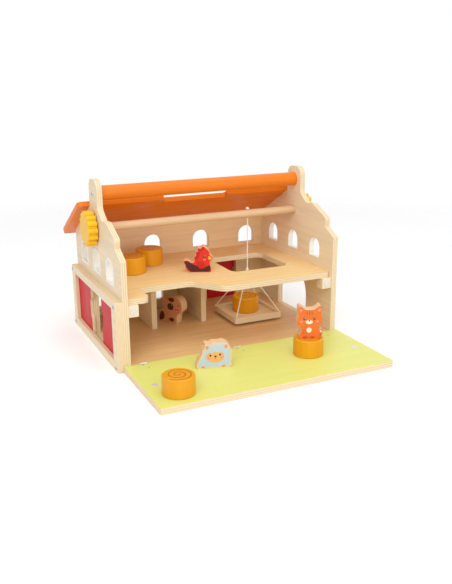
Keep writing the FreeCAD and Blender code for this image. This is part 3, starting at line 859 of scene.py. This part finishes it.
spiral_recipe = make_spiral_recipe()
spiral_finish = paint_finish("straw_spiral", paint(196, 110, 20), coat=0.1, contrast=0.9)
bale_bodies = {name: "toy_" + name for name in plain_nodes["bale"]}
for node, body in bale_bodies.items():
    low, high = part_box(node)
    radius = (high[0] - low[0]) / 2
    values = {"Inner": spiral_start, "Outer": radius - spiral_margin, "Turns": spiral_turns,
              "Wide": spiral_wide, "Proud": 2 * spiral_proud, "Material": spiral_finish}
    mark = cooked(node + "_spiral", bpy.data.meshes.new(node + "_seed"), spiral_recipe, values)
    top_middle = Vector(((low[0] + high[0]) / 2, (low[1] + high[1]) / 2, high[2]))
    mark.data.transform(Matrix.Translation(top_middle))
    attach(mark, body)
print("bale spirals:", len(bale_bodies))

# %% [markdown]
# The animals are flat blocks of wood with a painted front and back, and bare sides. Their base colour
# is a board finish across the block's thickness. Wings, patches and faces are thin painted shapes that
# lie on both sides. They are given as shares of the animal's width and height, from its own middle.

# %% Animal helpers
patch_step = 0.16 * MM
animal_edges = (paint(238, 200, 156), paint(228, 186, 140))
animal_bevel = 0.7 * MM
animal_coat = 0.2
animal_contrast = 0.93
round_points = 28
blob_parts = 6
upright_limit = 0.01
normal_digits = 3


def animal_frame(node):
    """Middle of the foot, unit vectors across and out of the front, width, height and thickness."""
    areas = {}
    for face in nodes[node].data.polygons:
        if abs(face.normal.z) < upright_limit and face.normal.y < 0:
            key = (round(face.normal.x, normal_digits), round(face.normal.y, normal_digits))
            areas[key] = areas.get(key, 0) + face.area
    front = max(areas, key=areas.get)
    out = Vector((front[0], front[1], 0)).normalized()
    across = AXES[Z].cross(out)
    places = [vertex.co for vertex in nodes[node].data.vertices]
    sides = [place.dot(across) for place in places]
    depths = [place.dot(out) for place in places]
    heights = [place.z for place in places]
    foot = across * (max(sides) + min(sides)) / 2 + out * (max(depths) + min(depths)) / 2
    foot.z = min(heights)
    return {"foot": foot, "across": across, "out": out, "width": max(sides) - min(sides),
            "tall": max(heights) - min(heights), "thick": max(depths) - min(depths)}


def disc(u, v, wide, tall):
    angles = [2 * math.pi * step / round_points for step in range(round_points)]
    return [(u + wide * math.cos(angle), v + tall * math.sin(angle)) for angle in angles]


def blob(*corners):
    """A smooth closed outline through a few corners, a Catmull-Rom curve."""
    points = []
    count = len(corners)
    for step in range(count):
        before, here, after, beyond = (
            Vector(corners[(step + ahead) % count]) for ahead in (-1, 0, 1, 2))
        slope = after - before
        bend = before * 2 - here * 5 + after * 4 - beyond
        twist = here * 3 - before - after * 3 + beyond
        for part in range(blob_parts):
            t = part / blob_parts
            place = (here * 2 + slope * t + bend * t * t + twist * t * t * t) / 2
            points.append((place.x, place.y))
    return points


def add_patch(mesh, animal, outline, level, paint_number):
    """One painted shape on the front and on the back, standing a little proud of the wood."""
    for side in (1, -1):
        rings = []
        for depth in (-patch_step, patch_step * level):
            ring = []
            for u, v in outline:
                place = animal["foot"] + animal["across"] * (u * animal["width"])
                place += animal["out"] * side * (animal["thick"] / 2 + depth)
                place.z += v * animal["tall"]
                ring.append(mesh.verts.new(place))
            rings.append(ring)
        faces = [mesh.faces.new(rings[0]), mesh.faces.new(rings[1])]
        for step in range(len(outline)):
            other = (step + 1) % len(outline)
            faces.append(mesh.faces.new((rings[0][step], rings[0][other],
                                         rings[1][other], rings[1][step])))
        for face in faces:
            face.material_index = paint_number


def painted_animal(node, body, base, colours, patches):
    """Base colour on the wood, and the patches as one piece. A patch is outline, level, colour name."""
    animal = animal_frame(node)
    low = animal["foot"].dot(animal["out"]) - animal["thick"] / 2
    finish = board_finish(node + "_wood", animal["out"], low, animal["thick"], Z, base, animal_edges)
    dress(node, finish)
    ease_edges(node, animal_bevel)
    mesh = bmesh.new()
    names = list(colours)
    for outline, level, name in patches:
        add_patch(mesh, animal, outline, level, names.index(name))
    data = mesh_from(mesh, node + "_paint")
    for name in names:
        data.materials.append(paint_finish(node + "_" + name, colours[name], along=Z, coat=animal_coat,
                                           contrast=animal_contrast))
    piece = add_object(node + "_paint", data)
    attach(piece, body)
    print(node, "patches:", len(patches))


# %% [markdown]
# The sheep's wool follows the outline of its own block. The rim of the front face is walked round edge
# by edge, cut into even steps, drawn in a little and bitten into by a row of round scallops.

# %% Sheep
dark_paint = paint(58, 38, 34)
eye_glint = paint(250, 244, 236)
scallops = 17
loop_points = 136
front_limit = 0.99
wool_inset = 1.3 * MM
wool_bite = 1.3 * MM


def scalloped(node, inset, bite):
    """The animal's own outline, drawn in by inset, with round bites along it, as shares."""
    animal = animal_frame(node)
    solid = bmesh.new()
    solid.from_mesh(nodes[node].data)
    bmesh.ops.remove_doubles(solid, verts=solid.verts, dist=weld_gap)
    front = {face for face in solid.faces if face.normal.dot(animal["out"]) > front_limit}
    rim = [edge for edge in solid.edges if len(front.intersection(edge.link_faces)) == 1]
    following = {}
    for edge in rim:
        for one, other in (edge.verts, reversed(edge.verts)):
            following.setdefault(one, []).append(other)
    start = rim[0].verts[0]
    loop = [start]
    while len(loop) < len(rim):
        loop.append(next(place for place in following[loop[-1]] if place not in loop[-2:]))
    flat = np.array([((place.co - animal["foot"]).dot(animal["across"]), place.co.z - animal["foot"].z)
                     for place in loop])
    solid.free()
    closed = np.vstack([flat, flat[:1]])
    run = np.concatenate([[0], np.cumsum(np.linalg.norm(np.diff(closed, axis=0), axis=1))])
    spots = np.linspace(0, run[-1], loop_points, endpoint=False)
    even = np.stack([np.interp(spots, run, closed[:, axis]) for axis in (0, 1)], axis=1)
    ahead = np.roll(even, -2, axis=0) - np.roll(even, 2, axis=0)
    inward = np.stack([-ahead[:, 1], ahead[:, 0]], axis=1) / np.linalg.norm(ahead, axis=1)[:, None]
    if np.sum(inward * (even.mean(axis=0) - even)) < 0:
        inward = -inward
    depth = inset + bite * (1 - np.abs(np.sin(math.pi * scallops * spots / run[-1])))
    even = even + inward * depth[:, None]
    return [(x / animal["width"], y / animal["tall"]) for x, y in even]


painted_animal(
    "sheep", "toy_sheep", paint(244, 210, 170),
    {"wool": paint(193, 209, 226), "face": paint(236, 180, 108), "cheek": paint(242, 146, 136),
     "dark": dark_paint, "hoof": paint(228, 160, 92)},
    [(scalloped("sheep", wool_inset, wool_bite), 1, "wool"),
     (blob((-0.23, 0.50), (-0.14, 0.61), (-0.06, 0.59), (0.02, 0.65), (0.10, 0.60), (0.18, 0.63),
           (0.27, 0.50), (0.25, 0.34), (0.14, 0.24), (0.00, 0.23), (-0.15, 0.29)), 2, "face"),
     (disc(-0.11, 0.50, 0.026, 0.042), 3, "dark"), (disc(0.16, 0.52, 0.026, 0.042), 3, "dark"),
     (disc(-0.16, 0.39, 0.044, 0.042), 3, "cheek"), (disc(0.20, 0.41, 0.044, 0.042), 3, "cheek"),
     (disc(0.03, 0.46, 0.034, 0.03), 3, "dark"), (disc(0.03, 0.39, 0.018, 0.012), 3, "dark"),
     (disc(-0.20, 0.82, 0.042, 0.075), 2, "hoof"), (disc(0.33, 0.83, 0.042, 0.075), 2, "hoof"),
     (disc(-0.32, 0.06, 0.06, 0.035), 2, "hoof"), (disc(0.26, 0.06, 0.06, 0.035), 2, "hoof")],
)

# %% [markdown]
# The hen, the calf and the cat are given by a few blobs and discs each. A patch of a higher level lies
# on top of a lower one, so a glint lies on an eye and an eye on a patch.

# %% Hen
painted_animal(
    "hen", "toy_hen", paint(226, 46, 16),
    {"dark_red": paint(76, 10, 20), "comb": paint(190, 16, 22), "wing": paint(200, 22, 20),
     "cheek": paint(246, 126, 96), "beak": paint(250, 182, 58), "dark": dark_paint, "glint": eye_glint},
    [(blob((-0.46, 0.41), (-0.37, 0.43), (-0.20, 0.33), (-0.06, 0.26), (0.12, 0.22), (0.28, 0.22),
           (0.39, 0.26), (0.39, 0.04), (0.10, 0.03), (-0.25, 0.04), (-0.40, 0.22)), 1, "dark_red"),
     (blob((-0.10, 0.57), (-0.04, 0.66), (-0.05, 0.75), (0.02, 0.81), (0.03, 0.90), (0.11, 0.90),
           (0.16, 0.96), (0.22, 0.92), (0.12, 0.80), (0.06, 0.68), (0.02, 0.56), (-0.06, 0.49)),
      1, "comb"),
     (blob((-0.04, 0.36), (0.08, 0.42), (0.22, 0.34), (0.26, 0.20), (0.12, 0.14), (0.00, 0.20)),
      2, "wing"),
     (disc(0.22, 0.49, 0.046, 0.034), 1, "cheek"),
     (blob((0.38, 0.62), (0.47, 0.54), (0.39, 0.48), (0.35, 0.55)), 1, "beak"),
     (disc(0.22, 0.61, 0.036, 0.044), 1, "dark"), (disc(0.235, 0.63, 0.011, 0.013), 2, "glint")],
)

# %% Calf
painted_animal(
    "calf", "toy_calf", paint(206, 140, 92),
    {"brown": paint(84, 34, 22), "snout": paint(232, 116, 116), "dark": dark_paint, "glint": eye_glint},
    [(blob((-0.46, 0.10), (-0.34, 0.08), (-0.24, 0.22), (-0.30, 0.40), (-0.42, 0.34)), 1, "brown"),
     (disc(0.06, 0.14, 0.11, 0.07), 1, "brown"),
     (blob((-0.06, 0.91), (0.08, 0.96), (0.19, 0.90), (0.12, 0.81), (-0.01, 0.82)), 1, "brown"),
     (disc(0.02, 0.62, 0.13, 0.13), 1, "brown"), (disc(-0.28, 0.83, 0.05, 0.04), 1, "snout"),
     (disc(0.30, 0.53, 0.14, 0.09), 2, "snout"),
     (disc(0.26, 0.54, 0.018, 0.024), 3, "dark"), (disc(0.35, 0.54, 0.018, 0.024), 3, "dark"),
     (disc(0.07, 0.67, 0.03, 0.036), 2, "dark"), (disc(0.37, 0.71, 0.03, 0.036), 2, "dark"),
     (disc(0.08, 0.685, 0.01, 0.012), 3, "glint"), (disc(0.38, 0.725, 0.01, 0.012), 3, "glint")],
)

# %% Cat
painted_animal(
    "cat", "toy_cat", paint(234, 116, 34),
    {"stripe": paint(206, 78, 18), "pale": paint(252, 228, 202), "pink": paint(242, 150, 134),
     "dark": dark_paint, "glint": eye_glint},
    [(blob((-0.40, 0.93), (-0.40, 0.83), (-0.29, 0.87)), 1, "pink"),
     (blob((0.39, 0.93), (0.29, 0.87), (0.39, 0.83)), 1, "pink"),
     (disc(-0.12, 0.79, 0.022, 0.045), 1, "stripe"), (disc(-0.02, 0.79, 0.022, 0.055), 1, "stripe"),
     (disc(0.08, 0.79, 0.022, 0.045), 1, "stripe"),
     (disc(-0.03, 0.52, 0.14, 0.062), 1, "pale"), (disc(-0.03, 0.56, 0.032, 0.02), 2, "dark"),
     (disc(-0.22, 0.62, 0.042, 0.038), 1, "dark"), (disc(0.17, 0.62, 0.042, 0.038), 1, "dark"),
     (disc(-0.205, 0.632, 0.013, 0.011), 2, "glint"), (disc(0.185, 0.632, 0.013, 0.011), 2, "glint"),
     (disc(-0.34, 0.53, 0.052, 0.03), 1, "pink"), (disc(0.29, 0.53, 0.052, 0.03), 1, "pink"),
     (disc(-0.03, 0.27, 0.10, 0.08), 1, "pale"),
     (disc(-0.24, 0.27, 0.05, 0.014), 1, "stripe"), (disc(-0.25, 0.19, 0.05, 0.014), 1, "stripe"),
     (disc(-0.18, 0.05, 0.09, 0.028), 1, "stripe"), (disc(0.10, 0.05, 0.09, 0.028), 1, "stripe"),
     (disc(0.42, 0.12, 0.04, 0.03), 1, "stripe"), (disc(0.43, 0.23, 0.035, 0.03), 1, "pale")],
)

# %% [markdown]
# The house stands on a pale floor, which is stage and not part of the object. A faint glow that only
# the camera sees makes it nearly white, and its edge fades into a white world, so that no horizon
# shows, while the soft shadow stays. Broad area lamps give the even light of a studio.

# %% Floor and lamps
floor_half = 3.0
fade_start = 0.5
fade_end = 1.3
floor_glow = 0.09
world_strength = 0.55
lamp_target = Vector((0, -0.05, 0.1))
white = (1, 1, 1, 1)


def add_floor():
    mesh = bpy.data.meshes.new("floor")
    corners = [(x, y, 0) for x, y in ((-1, -1), (1, -1), (1, 1), (-1, 1))]
    mesh.from_pydata([Vector(corner) * floor_half for corner in corners], [], [(0, 1, 2, 3)])
    material = fine_finish("pale_floor", paint(252, 252, 252), scale=30.0, roughness=0.85,
                           metallic=0.0, contrast=0.99)
    tree = material.node_tree
    shader = tree.nodes["Principled BSDF"]
    where = tree.nodes.new("ShaderNodeTexCoord").outputs
    far = vector_math(tree, "LENGTH", where["Object"])["Value"]
    feed(tree, shader.inputs["Alpha"], remap(tree, far, fade_start, fade_end, 1.0, 0.0))
    path = tree.nodes.new("ShaderNodeLightPath")
    glow = math_node(tree, "MULTIPLY", path.outputs["Is Camera Ray"], floor_glow)
    shader.inputs["Emission Color"].default_value = white
    feed(tree, shader.inputs["Emission Strength"], glow)
    mesh.materials.append(material)
    floor = add_object("floor", mesh)


def add_world():
    """White past the floor, for the camera and in gloss, and plain soft light for everything else."""
    world = bpy.data.worlds.new("studio")
    bpy.context.scene.world = world
    world.use_nodes = True
    tree = world.node_tree
    sky = tree.nodes["Background"]
    sky.inputs["Color"].default_value = white
    path = tree.nodes.new("ShaderNodeLightPath")
    seen = path.outputs["Is Camera Ray"]
    for ray in ("Is Glossy Ray", "Is Transmission Ray"):
        seen = math_node(tree, "ADD", seen, path.outputs[ray])
    feed(tree, sky.inputs["Strength"], remap(tree, seen, 0.0, 1.0, world_strength, 1.0))


def add_lamp(name, place, size, power):
    data = bpy.data.lights.new(name, "AREA")
    data.size = size
    data.energy = power
    lamp = add_object(name, data)
    lamp.location = place
    lamp.rotation_euler = (lamp_target - Vector(place)).to_track_quat("-Z", "Y").to_euler()


add_floor()
add_world()
add_lamp("key", (-1.2, -1.5, 1.6), size=1.6, power=20)
add_lamp("fill", (0.3, -2.0, 0.7), size=1.6, power=9)
add_lamp("top", (0.1, -0.3, 2.0), size=1.8, power=16)
bpy.context.scene.view_settings.view_transform = "Standard"
print("lamps:", len(bpy.data.lights))
